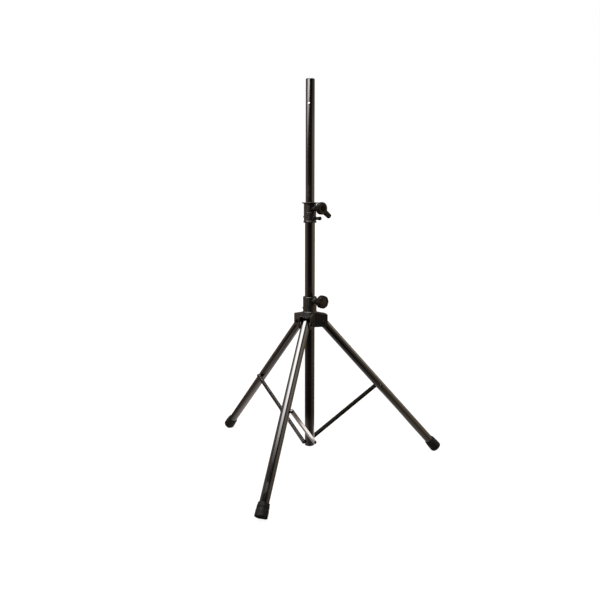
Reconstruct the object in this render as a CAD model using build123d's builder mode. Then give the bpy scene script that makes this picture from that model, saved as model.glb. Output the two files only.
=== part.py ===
from build123d import *
import os
from math import atan2, cos, hypot, radians, sin

# Folding tripod stand with a telescopic 35 mm pole, drawn fully spread, in millimetres.
# Frame: origin on the floor under the shaft axis, +Z up, legs at -90, 30 and 150 degrees.
# Heights below start at a datum RAISE above the floor; each finished piece is lifted by that
# much when it is saved.

# ---------------------------------------------------------------- driving sizes
RAISE = 21.0                       # from the floor up to the datum of all heights
LEG_AZ = (-90.0, 30.0, 150.0)      # direction of each leg in plan
KNOB_AZ = -30.0                    # direction that both clamp knobs and the lock pin face

# main tube and pole
TUBE_R, TUBE_IR = 20.0, 18.5       # 40 mm main tube, 1.5 mm wall
TUBE_Z0, TUBE_Z1 = 50.0, 1004.0
POLE_R, POLE_IR = 17.5, 16.0       # 35 mm pole, 1.5 mm wall
POLE_TOP_R = 17.4                  # sized end that enters a speaker socket
POLE_END_LEN = 80.0                # length of the sized end
POLE_Z1 = 1513.0
POLE_LEN = 900.0
POLE_Z0 = POLE_Z1 - POLE_LEN
RIVET_Z = 1424.0                   # cross rivet of the top plug
PIN_PITCH = 70.0                   # distance between the pole's pin holes
PIN_HOLES = 5
PIN_HOLE_R = 4.3

# upper collar
COLLAR_Z0, COLLAR_Z1 = 966.0, 1046.0
COLLAR_LIP_Z = COLLAR_Z1 - 3.5     # underside of the collar's top lip
COLLAR_R, FLANGE_R, RIM_R = 24.5, 32.5, 26.0
UPPER_KNOB_Z = 1023.0
PIN_Z = 984.0
COLLAR_SCREW_Z = 990.0
COLLAR_SCREW_AZ = (KNOB_AZ + 140, KNOB_AZ - 140)

# hub
HUB_Z1 = 670.5
HUB_LIP_Z = 668.0                  # underside of the hub collar's top lip
HUB_NECK_Z1 = 642.0                # top of the bracket's neck
HUB_STEP_Z = HUB_NECK_Z1 + 0.6     # step inside the hub collar, above the neck
HUB_R = 27.5
HUB_NECK_R = 25.5                  # steel neck of the bracket
HUB_BUSH_R = 23.0
HUB_KNOB_Z = 656.5
HUB_SCREW_Z = 626.0
HUB_SCREW_AZ = (KNOB_AZ + 120, KNOB_AZ - 120)
ARM_W = 23.5                       # half width of a bracket arm
ARM_END = 69.0                     # reach of a bracket arm
ARM_Z0 = 548.0
ARM_TOP_IN, ARM_TOP_OUT = 606.0, 598.4
ARM_BEND_X = 31.0                  # where the arm's top starts to slope down
SHEET = 2.0

# legs and braces
LEG_R, LEG_IR = 17.5, 16.2         # 35 mm legs, 1.3 mm wall
LEG_TILT = 41.56                   # leg to the vertical, spread
PIVOT_R, PIVOT_Z = 54.0, 567.0     # leg pivot, from the shaft axis and the datum
LEG_TOP = 16.5                     # tube above the pivot, along the leg
LEG_LEN = 770.0                    # pivot to the foot's end
CAP_LEN, CAP_R = 50.0, 22.6
BRACE_AT = 375.0                   # pivot to brace bolt, along the leg
BRACE_PIVOT_R, BRACE_PIVOT_Z = 9.0, 63.0
BRACE_IN, BRACE_OUT = 21.0, 29.0   # brace's inner and outer faces, beside the leg's plane
BRACE_W = 16.0
BRACE_T = 1.8
SPACER_FACE = BRACE_IN - 0.5       # where the leg's brace bolt and spacer end

# bolts, screws and their holes
PIVOT_BOLT_R = 4.0                 # leg pivots
LEG_PIVOT_HOLE_R = PIVOT_BOLT_R + 0.06
BRACE_BOLT_R = 3.0
STUD_R = 4.0                       # M8 clamp stud
SCREW_R = 2.0
RIVET_R = 2.5
HEAD_H, HEAD_TAPER = 3.6, 18       # domed bolt and rivet heads
SCREW_HEAD_R, SCREW_HEAD_H = 4.0, 2.4
CLOSE_FIT, EASY_FIT = 0.05, 0.1    # radial clearance of bolt holes
MOULD_GAP = 0.03                   # radial clearance of bushes, plugs and inserts
BORE_HALF = 30.0                   # through bores run this far to each side of the axis

# parts that both clamps share
PAD_R, PAD_LEN = 5.0, 3.9
PAD_GAP = 0.06                     # between a pad and the tube it presses on
PAD_BORE_R = 5.2
INSERT_R, INSERT_IR, INSERT_LEN = 7.0, 4.15, 12.6
UPPER_INSERT_AT, HUB_INSERT_AT = 25.0, 28.0       # insert bores start, from the shaft axis
UPPER_RECESS_AT, UPPER_RECESS_R = 73.8, 11.2      # recess for the cap in each knob's face
HUB_RECESS_AT, HUB_RECESS_R = 81.4, 16.2

# lock pin
PIN_BARREL_R = 6.0
PIN_ROD_R = 3.4

# ---------------------------------------------------------------- derived geometry
tilt = radians(LEG_TILT)
BRACE_TOP_R = PIVOT_R + BRACE_AT * sin(tilt)
BRACE_TOP_Z = PIVOT_Z - BRACE_AT * cos(tilt)
BRACE_LEN = hypot(BRACE_TOP_R - BRACE_PIVOT_R, BRACE_TOP_Z - BRACE_PIVOT_Z)
lean = atan2(BRACE_TOP_R - BRACE_PIVOT_R, BRACE_TOP_Z - BRACE_PIVOT_Z)   # brace to the vertical


# ---------------------------------------------------------------- directions and planes
def out(az):
    """Unit vector that points outwards at an azimuth."""
    return Vector(cos(radians(az)), sin(radians(az)), 0)


def side(az):
    """Unit vector square to it, turned anticlockwise in plan."""
    return Vector(-sin(radians(az)), cos(radians(az)), 0)


def down_leg(az):
    """Unit vector along a leg, from its pivot towards the foot."""
    return out(az) * sin(tilt) + Vector(0, 0, -cos(tilt))


def at(az, r, off, z):
    """Point beside a radial plane: radius r, offset off to the anticlockwise side, height z."""
    return out(az) * r + side(az) * off + Vector(0, 0, z)


def cross_plane(az, r, off, z):
    """Plane square to the side direction, for bolts that cross a leg's plane."""
    return Plane(origin=at(az, r, off, z), x_dir=out(az), z_dir=side(az))


def radial_plane(az, r, z):
    """Plane that faces outwards, x to the anticlockwise side and y up."""
    return Plane(origin=at(az, r, 0, z), x_dir=side(az), z_dir=out(az))


def knob_plane(r, z):
    """Radial plane that faces the knobs' direction."""
    return radial_plane(KNOB_AZ, r, z)


def brace_pivot_plane(az, off):
    """Cross plane on the axis of a brace's lower pivot."""
    return cross_plane(az, BRACE_PIVOT_R, off, BRACE_PIVOT_Z)


def leg_plane(az, distance):
    """Plane square to a leg, at a distance from its pivot towards the foot."""
    origin = at(az, PIVOT_R, 0, PIVOT_Z) + down_leg(az) * distance
    return Plane(origin=origin, x_dir=side(az), z_dir=down_leg(az))


def leg_side_plane(az, off, distance):
    """Plane square to the side direction, for holes and bolts that cross the leg."""
    origin = at(az, PIVOT_R, off, PIVOT_Z) + down_leg(az) * distance
    return Plane(origin=origin, x_dir=down_leg(az), z_dir=side(az))


def knob_reach(edge):
    """How far a round edge's centre lies from the shaft axis, towards the knobs."""
    return edge.arc_center.dot(out(KNOB_AZ))


# ---------------------------------------------------------------- shared operations
# Each adds to or cuts from the BuildPart that is open where it is called. A sketch made in a
# function doesn't join that part by itself, so it is passed on to extrude or revolve.
def rod(plane, radius, length, taper=0.0, mode=Mode.ADD):
    """Round bar from a plane along its normal; a negative length runs against the normal."""
    with BuildSketch(plane) as disc:
        Circle(radius)
    extrude(disc.sketch, amount=length, taper=taper, mode=mode)


def bore(plane, radius, depth):
    """Round hole from a plane along its normal."""
    rod(plane, radius, depth, mode=Mode.SUBTRACT)


def ring(plane, radius, inner_radius, length):
    """Plain tube from a plane along its normal."""
    with BuildSketch(plane) as annulus:
        Circle(radius)
        Circle(inner_radius, mode=Mode.SUBTRACT)
    extrude(annulus.sketch, amount=length)


def hexagon(plane, radius, length, mode=Mode.ADD):
    """Hexagonal bar, or socket, from a plane; the radius reaches its corners."""
    with BuildSketch(plane) as outline:
        RegularPolygon(radius, 6)
    extrude(outline.sketch, amount=length, mode=mode)


def outline_face(points, plane=Plane.XZ):
    """Sketch that is closed by straight lines through the points."""
    with BuildSketch(plane) as outline:
        with BuildLine():
            Polyline(*points, close=True)
        make_face()
    return outline.sketch


def turn(points):
    """Solid of revolution about the shaft axis, from points of (radius, height)."""
    revolve(outline_face(points), axis=Axis.Z)


def screw_holes(azimuths, z):
    """Radial screw holes through one side of a tube or collar."""
    for az in azimuths:
        bore(radial_plane(az, 15, z), SCREW_R + CLOSE_FIT, 20)


def pad_bore(z):
    """Hole that a clamp pad slides in."""
    bore(knob_plane(15, z), PAD_BORE_R, 15)


def save(part, label):
    raised = Pos(0, 0, RAISE) * part
    raised.label = label
    export_step(raised, f"parts/{label}.step")


# ================================================================ column
def main_tube():
    """Main tube, with its pin hole, brace bolt holes and collar screw holes."""
    with BuildPart() as tube:
        ring(Plane.XY.offset(TUBE_Z0), TUBE_R, TUBE_IR, TUBE_Z1 - TUBE_Z0)
        chamfer(tube.edges().filter_by(GeomType.CIRCLE).group_by(Axis.Z)[-1], 0.5)
        bore(knob_plane(0, PIN_Z), PIN_HOLE_R, 30)
        for az in LEG_AZ:
            bore(brace_pivot_plane(az, 5), BRACE_BOLT_R + EASY_FIT, 25)
        screw_holes(COLLAR_SCREW_AZ, COLLAR_SCREW_Z)
    return tube.part


def tube_bottom_plug():
    """Solid plug that closes the tube and carries the brace bolts."""
    body_r = TUBE_IR - 0.04
    rim_z = TUBE_Z0 - 0.02
    with BuildPart() as plug:
        turn((
            (0, TUBE_Z0 - 4.5), (16, TUBE_Z0 - 4.5), (TUBE_R, TUBE_Z0 - 2), (TUBE_R, rim_z),
            (body_r, rim_z), (body_r, TUBE_Z0 + 42), (15.5, TUBE_Z0 + 45), (0, TUBE_Z0 + 45),
        ))
        for az in LEG_AZ:
            bore(brace_pivot_plane(az, 7), BRACE_BOLT_R + CLOSE_FIT, 20)
    return plug.part


def brace_pivot_bolts():
    """Three domed shoulder bolts that the braces turn on."""
    start = 7.3
    with BuildPart() as bolts:
        for az in LEG_AZ:
            rod(brace_pivot_plane(az, start), BRACE_BOLT_R, BRACE_OUT + 0.2 - start)
            rod(brace_pivot_plane(az, BRACE_OUT + 0.15), 6.0, HEAD_H, taper=HEAD_TAPER)
            hexagon(brace_pivot_plane(az, BRACE_OUT + 2.0), 2.2, 3, mode=Mode.SUBTRACT)
    return bolts.part


def brace_pivot_spacers():
    """Three spacers between the tube and the brace webs, shaped to the tube at their inner ends."""
    start = 12
    length = BRACE_OUT - BRACE_T - 0.15 - start
    with BuildPart() as spacers:
        for az in LEG_AZ:
            ring(brace_pivot_plane(az, start), 5.4, BRACE_BOLT_R + EASY_FIT, length)
        bore(Plane.XY.offset(BRACE_PIVOT_Z - 10), TUBE_R + 0.05, 20)
    return spacers.part


def upper_collar():
    """Moulded sleeve on the tube's top end, with a flange, a knob boss and a pin boss."""
    bore_r = TUBE_R + MOULD_GAP
    lip_r = 18.4
    bead_r = COLLAR_R + 0.7
    with BuildPart() as collar:
        turn((
            (bore_r, COLLAR_Z0), (RIM_R - 0.8, COLLAR_Z0),
            (RIM_R, COLLAR_Z0 + 0.8), (RIM_R, COLLAR_Z0 + 6.5), (COLLAR_R, COLLAR_Z0 + 8),
            # bead at the height of the tube's end
            (COLLAR_R, TUBE_Z1 - 0.8), (bead_r, TUBE_Z1), (bead_r, TUBE_Z1 + 2),
            (COLLAR_R, TUBE_Z1 + 2.8),
            # flange
            (COLLAR_R, COLLAR_Z1 - 8.5), (COLLAR_R + 1.2, COLLAR_Z1 - 5.5),
            (COLLAR_R + 3.5, COLLAR_Z1 - 3.8), (FLANGE_R - 0.6, COLLAR_Z1 - 3.4),
            (FLANGE_R, COLLAR_Z1 - 2.8), (FLANGE_R, COLLAR_Z1 - 0.6), (FLANGE_R - 0.6, COLLAR_Z1),
            # lip over the bush
            (lip_r + 0.8, COLLAR_Z1), (lip_r, COLLAR_Z1 - 0.8), (lip_r, COLLAR_LIP_Z),
            (bore_r, COLLAR_LIP_Z),
        ))
        rod(knob_plane(21, UPPER_KNOB_Z), 12, 17)
        fillet(collar.edges().filter_by(GeomType.CIRCLE).sort_by(knob_reach)[-1], 1.2)
        rod(knob_plane(21, PIN_Z), 9.5, 8, taper=4)
        # clears the inner ends of the bosses
        bore(Plane.XY.offset(COLLAR_Z0 - 1), bore_r, COLLAR_LIP_Z - COLLAR_Z0 + 1)
        pad_bore(UPPER_KNOB_Z)
        bore(knob_plane(UPPER_INSERT_AT, UPPER_KNOB_Z), INSERT_R + MOULD_GAP, 20)
        bore(knob_plane(15, PIN_Z), PIN_BARREL_R + MOULD_GAP, 20)
        screw_holes(COLLAR_SCREW_AZ, COLLAR_SCREW_Z)
    return collar.part


def upper_collar_bush():
    """Nylon guide bush above the tube's end, in which the pole runs."""
    start = TUBE_Z1 + 0.3
    with BuildPart() as bush:
        ring(Plane.XY.offset(start), TUBE_R, POLE_R + 0.06, COLLAR_LIP_Z - 0.1 - start)
        pad_bore(UPPER_KNOB_Z)
    return bush.part


def collar_screws(azimuths, z, start, length, seat_r):
    """Pan-head screws with cross recesses; the heads sit on a collar of radius seat_r."""
    with BuildPart() as screws:
        for az in azimuths:
            rod(radial_plane(az, start, z), SCREW_R, length)
            rod(radial_plane(az, seat_r + 0.02, z), SCREW_HEAD_R, SCREW_HEAD_H, taper=15)
            with BuildSketch(radial_plane(az, seat_r + 1.2, z)):
                Rectangle(4.6, 0.9)
                Rectangle(0.9, 4.6)
            extrude(amount=3, mode=Mode.SUBTRACT)
    return screws.part


# ================================================================ pole
def pole_tube():
    """Telescopic pole, with its sized top end and a row of pin holes through both walls."""
    end_z = POLE_Z1 - POLE_END_LEN
    with BuildPart() as pole:
        turn((
            (POLE_IR, POLE_Z0), (POLE_R, POLE_Z0), (POLE_R, end_z - 1.0), (POLE_TOP_R, end_z),
            (POLE_TOP_R, POLE_Z1), (POLE_IR, POLE_Z1),
        ))
        for k in range(PIN_HOLES):
            bore(knob_plane(-BORE_HALF, PIN_Z - k * PIN_PITCH), PIN_HOLE_R, 2 * BORE_HALF)
        bore(radial_plane(-90, -BORE_HALF, RIVET_Z), RIVET_R + CLOSE_FIT, 2 * BORE_HALF)
    return pole.part


def pole_top_plug():
    """Core plug that stiffens the pole's end, with a chamfered cap."""
    body_r = POLE_IR - MOULD_GAP
    cap_r = POLE_TOP_R - 0.25
    cap_z = POLE_Z1 + 0.05
    with BuildPart() as plug:
        turn((
            (0, POLE_Z1 - 100), (13.5, POLE_Z1 - 100), (body_r, POLE_Z1 - 97), (body_r, cap_z),
            (cap_r, cap_z), (cap_r, POLE_Z1 + 0.8), (15.4, POLE_Z1 + 3.0), (0, POLE_Z1 + 3.0),
        ))
        bore(radial_plane(-90, -BORE_HALF, RIVET_Z), RIVET_R + CLOSE_FIT, 2 * BORE_HALF)
    return plug.part


def pole_top_rivet():
    """Cross rivet with two flat heads."""
    half_len = POLE_R + 0.1
    with BuildPart() as rivet:
        rod(radial_plane(-90, -half_len, RIVET_Z), RIVET_R, 2 * half_len)
        for az in (-90, 90):
            rod(radial_plane(az, POLE_R + 0.02, RIVET_Z), 4.0, 1.1, taper=25)
    return rivet.part


def pole_guide_bush():
    """Bush at the pole's lower end; it slides in the main tube and the pole turns on it."""
    hole_r = 10
    skirt_r = TUBE_IR - 0.08
    spigot_r = POLE_IR - 0.1
    with BuildPart() as bush:
        turn((
            (hole_r, POLE_Z0 - 6), (TUBE_IR - 0.9, POLE_Z0 - 6), (skirt_r, POLE_Z0 - 5),
            (skirt_r, POLE_Z0 - 0.1), (spigot_r, POLE_Z0 - 0.1), (spigot_r, POLE_Z0 + 24),
            (spigot_r - 1, POLE_Z0 + 25), (hole_r, POLE_Z0 + 25),
        ))
    return bush.part


# ================================================================ clamps
# Both clamps share one design of screw: a nylon pad against the tube, an M8 stud and a knob.
# The upper clamp acts on the pole, the hub clamp on the main tube.
def clamp_pad(tube_r, z):
    """Nylon pad that presses on a tube of radius tube_r."""
    with BuildPart() as pad:
        rod(knob_plane(tube_r + PAD_GAP, z), PAD_R, PAD_LEN)
        chamfer(pad.edges().filter_by(GeomType.CIRCLE), 0.4)
    return pad.part


def clamp_stud(tube_r, z, length):
    """Stud that starts just outside the pad."""
    with BuildPart() as stud:
        rod(knob_plane(tube_r + 4.0, z), STUD_R, length)
        chamfer(stud.edges().filter_by(GeomType.CIRCLE).sort_by(knob_reach)[0], 0.8)
    return stud.part


def knob_insert(bore_start, z):
    """Threaded brass insert in a knob boss."""
    with BuildPart() as insert:
        ring(knob_plane(bore_start + 0.1, z), INSERT_R, INSERT_IR, INSERT_LEN)
    return insert.part


def knob_cap(recess_at, recess_r, z, height, rounding):
    """Round cap in the recess of a knob's face."""
    with BuildPart() as cap:
        rod(knob_plane(recess_at + 0.05, z), recess_r - 0.1, height)
        fillet(cap.edges().filter_by(GeomType.CIRCLE).sort_by(knob_reach)[-1], rounding)
    return cap.part


WING_SLOPE = -43.0                 # the upper knob's wing, to the horizontal
WING_DIR = side(KNOB_AZ) * cos(radians(WING_SLOPE)) + Vector(0, 0, sin(radians(WING_SLOPE)))
# distance from the shaft axis, distance along the wing, thickness, width, corner radius
WING_STATIONS = (
    (67.0, 8, 15, 23, 6),
    (72.0, 32, 14, 20.5, 5.5),
    (76.0, 50, 12, 19, 5),
)


def wing_point(reach, distance):
    """Point on the centre line of the upper knob's wing."""
    return at(KNOB_AZ, reach, 0, UPPER_KNOB_Z) + WING_DIR * distance


def upper_knob():
    """Round body with one long wing, swept slightly outwards."""
    tip = wing_point(*WING_STATIONS[-1][:2])
    with BuildPart() as knob:
        rod(knob_plane(56, UPPER_KNOB_Z), 24.4, 19)
        fillet(knob.edges().filter_by(GeomType.CIRCLE), 4.0)
        rod(knob_plane(41.5, UPPER_KNOB_Z), 12, 16)
        for reach, distance, thickness, width, corner in WING_STATIONS:
            origin = wing_point(reach, distance)
            with BuildSketch(Plane(origin=origin, x_dir=out(KNOB_AZ), z_dir=WING_DIR)):
                RectangleRounded(thickness, width, corner)
        loft()
        tip_face = knob.faces().sort_by(lambda f: (f.center() - tip).length)[0]
        fillet(tip_face.edges(), 3.5)
        bore(knob_plane(UPPER_RECESS_AT, UPPER_KNOB_Z), UPPER_RECESS_R, 5)
        bore(knob_plane(30, UPPER_KNOB_Z), STUD_R + CLOSE_FIT, 36)
    return knob.part


def hub_knob():
    """Round body with shallow finger flutes and a dished face."""
    with BuildPart() as knob:
        with BuildSketch(knob_plane(63, HUB_KNOB_Z)):
            Circle(26.2)
            with PolarLocations(40.0, 8, start_angle=22.5):
                Circle(15, mode=Mode.SUBTRACT)
        extrude(amount=20)
        fillet(knob.edges().filter_by(GeomType.CIRCLE), 2.6)
        rod(knob_plane(46, HUB_KNOB_Z), 13, 18)
        bore(knob_plane(HUB_RECESS_AT, HUB_KNOB_Z), HUB_RECESS_R, 5)
        bore(knob_plane(30, HUB_KNOB_Z), STUD_R + CLOSE_FIT, 42.5)
    return knob.part


# ================================================================ lock pin
def lock_pin_barrel():
    """Barrel of the spring-loaded lock pin, with a hexagonal collar."""
    with BuildPart() as barrel:
        rod(knob_plane(22.5, PIN_Z), PIN_BARREL_R, 7)
        hexagon(knob_plane(29.2, PIN_Z), 7.0, 5)
        rod(knob_plane(34.2, PIN_Z), 6.2, 5.3)
        bore(knob_plane(24.5, PIN_Z), 5.0, 13)
        bore(knob_plane(20, PIN_Z), PIN_ROD_R + 0.2, 25)
    return barrel.part


def lock_pin_spring():
    """Spring that pushes the pin inwards, between its shoulder and the barrel's end."""
    pitch, turns = 1.6, 3
    wire_r, coil_r = 0.4, 4.2
    start = at(KNOB_AZ, 32.1, 0, PIN_Z)
    with BuildPart() as spring:
        with BuildLine():
            coil = Helix(
                pitch=pitch, height=pitch * turns, radius=coil_r,
                center=start, direction=out(KNOB_AZ),
            )
        with BuildSketch(Plane(origin=coil @ 0, z_dir=coil % 0)):
            Circle(wire_r)
        sweep(path=coil, is_frenet=True)
    return spring.part


def lock_pin_rod():
    """Rod with a spring shoulder."""
    with BuildPart() as pin:
        rod(knob_plane(POLE_R + 0.6, PIN_Z), PIN_ROD_R, 41)
        chamfer(pin.edges().filter_by(GeomType.CIRCLE).sort_by(knob_reach)[0], 0.6)
        rod(knob_plane(30.0, PIN_Z), 4.8, 1.5)
    return pin.part


# distance from the shaft axis, radius about the pin's axis
PIN_KNOB_PROFILE = (
    (45.6, 0), (45.6, 6.2), (46.2, 6.8), (48.4, 6.8), (49.2, 6.4), (51.4, 6.5),
    (53.2, 7.2), (58.4, 7.6), (60.0, 6.6), (60.8, 4.2), (61.0, 0),
)


def lock_pin_knob():
    """Pull knob on the rod's outer end."""
    centre = at(KNOB_AZ, 0, 0, PIN_Z)
    plane = Plane(origin=centre, x_dir=out(KNOB_AZ), z_dir=side(KNOB_AZ) * -1)
    with BuildPart() as knob:
        revolve(outline_face(PIN_KNOB_PROFILE, plane), axis=Axis(centre, out(KNOB_AZ)))
        bore(knob_plane(40, PIN_Z), PIN_ROD_R + CLOSE_FIT, 19.2)
    return knob.part


# ================================================================ hub
def bracket_arm():
    """One arm of the pressed-steel bracket along +X: a channel open below and at its end."""
    inner_x = 10
    inner_top = ARM_TOP_IN - SHEET
    with BuildPart() as arm:
        profile = outline_face((
            (0, ARM_Z0), (ARM_END, ARM_Z0), (ARM_END, ARM_TOP_OUT),
            (ARM_BEND_X, ARM_TOP_IN), (0, ARM_TOP_IN),
        ))
        extrude(profile, amount=ARM_W, both=True)
        # long upper edges of both sides, then the lower corners at the open end
        fillet(
            arm.edges().filter_by(
                lambda e: abs(abs(e.center().Y) - ARM_W) < 0.01
                and e.center().Z > ARM_TOP_OUT
                and e.length > 5
            ),
            4.0,
        )
        fillet(
            arm.edges().filter_by(Axis.Y).filter_by(
                lambda e: e.center().X > ARM_END - 1 and e.center().Z < ARM_Z0 + 1
            ),
            6.0,
        )
        channel = outline_face((
            (inner_x, ARM_Z0 - 1), (ARM_END + 1, ARM_Z0 - 1),
            (ARM_END + 1, ARM_TOP_OUT - SHEET - 0.2), (ARM_BEND_X, inner_top),
            (inner_x, inner_top),
        ))
        extrude(channel, amount=ARM_W - SHEET, both=True, mode=Mode.SUBTRACT)
        bolt_plane = cross_plane(0, PIVOT_R, -BORE_HALF, PIVOT_Z)
        bore(bolt_plane, PIVOT_BOLT_R + EASY_FIT, 2 * BORE_HALF)
    return arm.part


def hub_bracket():
    """Three arms welded to a neck that the tube passes through."""
    arm = bracket_arm()
    with BuildPart() as bracket:
        with PolarLocations(0, 3, start_angle=LEG_AZ[0]):
            add(arm)
        rod(Plane.XY.offset(ARM_Z0), HUB_NECK_R, HUB_NECK_Z1 - ARM_Z0)
        bore(Plane.XY.offset(ARM_Z0 - 1), HUB_BUSH_R + MOULD_GAP, 100)
        screw_holes(HUB_SCREW_AZ, HUB_SCREW_Z)
    return bracket.part


def hub_collar():
    """Moulded hub collar over the neck, with the knob boss."""
    neck_r = HUB_NECK_R + 0.06
    bush_r = HUB_BUSH_R + MOULD_GAP
    skirt_r, skirt_z = 30.5, ARM_TOP_IN + 0.1
    lip_r = 20.7
    with BuildPart() as collar:
        turn((
            (neck_r, skirt_z), (skirt_r, skirt_z), (skirt_r, 608.9), (29.9, 609.5),
            (28.4, 610.0), (HUB_R, 611.2), (HUB_R, HUB_Z1 - 1.2), (HUB_R - 1.2, HUB_Z1),
            (lip_r + 0.7, HUB_Z1), (lip_r, HUB_Z1 - 0.7), (lip_r, HUB_LIP_Z),
            (bush_r, HUB_LIP_Z), (bush_r, HUB_STEP_Z), (neck_r, HUB_STEP_Z),
        ))
        rod(knob_plane(24.5, HUB_KNOB_Z), 12.6, 16.5)
        fillet(collar.edges().filter_by(GeomType.CIRCLE).sort_by(knob_reach)[-1], 1.2)
        # clears the inner end of the boss
        bore(Plane.XY.offset(HUB_STEP_Z), bush_r, HUB_LIP_Z - HUB_STEP_Z)
        pad_bore(HUB_KNOB_Z)
        bore(knob_plane(HUB_INSERT_AT, HUB_KNOB_Z), INSERT_R + MOULD_GAP, 20)
        screw_holes(HUB_SCREW_AZ, HUB_SCREW_Z)
    return collar.part


def hub_bush():
    """Nylon sleeve that lets the hub slide on the main tube."""
    start = ARM_Z0 + 4
    with BuildPart() as bush:
        ring(Plane.XY.offset(start), HUB_BUSH_R, TUBE_R + 0.08, HUB_LIP_Z - 0.2 - start)
        pad_bore(HUB_KNOB_Z)
    return bush.part


def pivot_plane(az, off):
    """Cross plane on the axis of a leg's pivot."""
    return cross_plane(az, PIVOT_R, off, PIVOT_Z)


def leg_pivot_bolts():
    """Pivot bolts of the legs; their low domed heads are on the clockwise side."""
    with BuildPart() as bolts:
        for az in LEG_AZ:
            rod(pivot_plane(az, -ARM_W - 0.5), PIVOT_BOLT_R, 2 * ARM_W + 8)
            rod(pivot_plane(az, -ARM_W - 0.05), 7.2, -HEAD_H, taper=HEAD_TAPER)
            hexagon(pivot_plane(az, -ARM_W - 2.0), 2.6, -3, mode=Mode.SUBTRACT)
    return bolts.part


def leg_pivot_nuts():
    """Nuts on the anticlockwise side of the bracket arms."""
    with BuildPart() as nuts:
        for az in LEG_AZ:
            with BuildSketch(pivot_plane(az, ARM_W + 0.05)):
                RegularPolygon(7.4, 6)
                Circle(PIVOT_BOLT_R + CLOSE_FIT, mode=Mode.SUBTRACT)
            extrude(amount=6.3)
    return nuts.part


def leg_pivot_washers():
    """Nylon washers that centre the legs in the bracket arms."""
    gap = 0.1
    arm_inside = ARM_W - SHEET
    thickness = arm_inside - LEG_R - 2 * gap
    with BuildPart() as washers:
        for az in LEG_AZ:
            for start in (LEG_R + gap, -arm_inside + gap):
                ring(pivot_plane(az, start), 9.0, PIVOT_BOLT_R + EASY_FIT, thickness)
    return washers.part


# ================================================================ legs and braces
def leg_tube(az):
    """Leg tube, cross drilled for its pivot bolt and its brace bolt."""
    with BuildPart() as tube:
        ring(leg_plane(az, -LEG_TOP), LEG_R, LEG_IR, LEG_TOP + LEG_LEN - 5)
        bore(leg_side_plane(az, -BORE_HALF, 0), LEG_PIVOT_HOLE_R, 2 * BORE_HALF)
        bore(leg_side_plane(az, -BORE_HALF, BRACE_AT), BRACE_BOLT_R + CLOSE_FIT, 2 * BORE_HALF)
    return tube.part


def leg_top_plug(az):
    """Nylon plug in the leg's top end; the pivot bolt passes through it."""
    with BuildPart() as plug:
        rod(leg_plane(az, -LEG_TOP), LEG_IR - MOULD_GAP, 31)
        rod(leg_plane(az, -LEG_TOP - 1.6), LEG_R, 1.55)
        # joins the plug to its cap
        rod(leg_plane(az, -LEG_TOP - 0.5), 10, 1)
        bore(leg_side_plane(az, -BORE_HALF, 0), LEG_PIVOT_HOLE_R, 2 * BORE_HALF)
    return plug.part


def foot_cap(az):
    """Rubber foot: a stepped cap with a rounded end, flattened where it meets the floor."""
    along = down_leg(az)
    pivot = at(az, PIVOT_R, 0, PIVOT_Z)
    bore_r = LEG_R + 0.05
    collar_r = 21.2
    end_r = CAP_R + 0.9
    top = LEG_LEN - CAP_LEN
    bore_end = LEG_LEN - 4.9
    cut_size, cut_depth = 120, 20
    # radius about the leg's axis, distance from the pivot
    profile = (
        (bore_r, top), (collar_r - 1, top), (collar_r, top + 1), (collar_r, top + 8),
        (CAP_R, top + 10.5), (CAP_R, LEG_LEN - 26), (end_r, LEG_LEN - 24), (end_r, LEG_LEN),
        (0, LEG_LEN), (0, bore_end), (bore_r, bore_end),
    )
    plane = Plane(origin=pivot, x_dir=side(az), z_dir=side(az).cross(along))
    with BuildPart() as foot:
        revolve(outline_face(profile, plane), axis=Axis(pivot, along))
        round_edges = foot.edges().filter_by(GeomType.CIRCLE)
        fillet(round_edges.sort_by(lambda e: (e.arc_center - pivot).dot(along))[-1], 7.0)
        with BuildSketch(Plane(origin=at(az, 565, 0, -RAISE - cut_depth))):
            Rectangle(cut_size, cut_size)
        extrude(amount=cut_depth, mode=Mode.SUBTRACT)
    return foot.part


def leg_brace_bolt(az):
    """Bolt through the leg for the brace, with a domed head; it ends at the spacer's face."""
    start = -LEG_R - 0.3
    with BuildPart() as bolt:
        rod(leg_side_plane(az, start, BRACE_AT), BRACE_BOLT_R, SPACER_FACE - start)
        rod(leg_side_plane(az, -LEG_R - 0.1, BRACE_AT), 6.4, -4.2, taper=HEAD_TAPER)
    return bolt.part


def leg_brace_spacer(az):
    """Spacer between the leg and the brace."""
    start = LEG_R + 0.1
    plane = leg_side_plane(az, start, BRACE_AT)
    with BuildPart() as spacer:
        ring(plane, 7.0, BRACE_BOLT_R + CLOSE_FIT, SPACER_FACE - start)
    return spacer.part


def round_ended_bar(plane, width, depth, mode=Mode.ADD):
    """Slot-shaped block from the brace's lower pivot, at the origin, to its upper one."""
    with BuildSketch(plane) as outline:
        with Locations((BRACE_LEN / 2, 0)):
            SlotCenterToCenter(BRACE_LEN, width)
    extrude(outline.sketch, amount=depth, mode=mode)


def brace(az):
    """Pressed channel with round ends, its web away from the leg's plane."""
    up_brace = out(az) * sin(lean) + Vector(0, 0, cos(lean))
    pivot = at(az, BRACE_PIVOT_R, BRACE_IN, BRACE_PIVOT_Z)
    plane = Plane(origin=pivot, x_dir=up_brace, z_dir=side(az))
    depth = BRACE_OUT - BRACE_IN
    with BuildPart() as channel:
        round_ended_bar(plane, BRACE_W, depth)
        fillet(
            channel.edges().filter_by(
                lambda e: abs(e.center().dot(side(az)) - BRACE_OUT) < 0.01
            ),
            1.4,
        )
        round_ended_bar(plane, BRACE_W - 2 * BRACE_T, depth - BRACE_T, mode=Mode.SUBTRACT)
        with BuildSketch(plane):
            Circle(BRACE_BOLT_R + EASY_FIT)
            with Locations((BRACE_LEN, 0)):
                Circle(BRACE_BOLT_R + CLOSE_FIT)
        extrude(amount=20, mode=Mode.SUBTRACT)
    return channel.part


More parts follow.
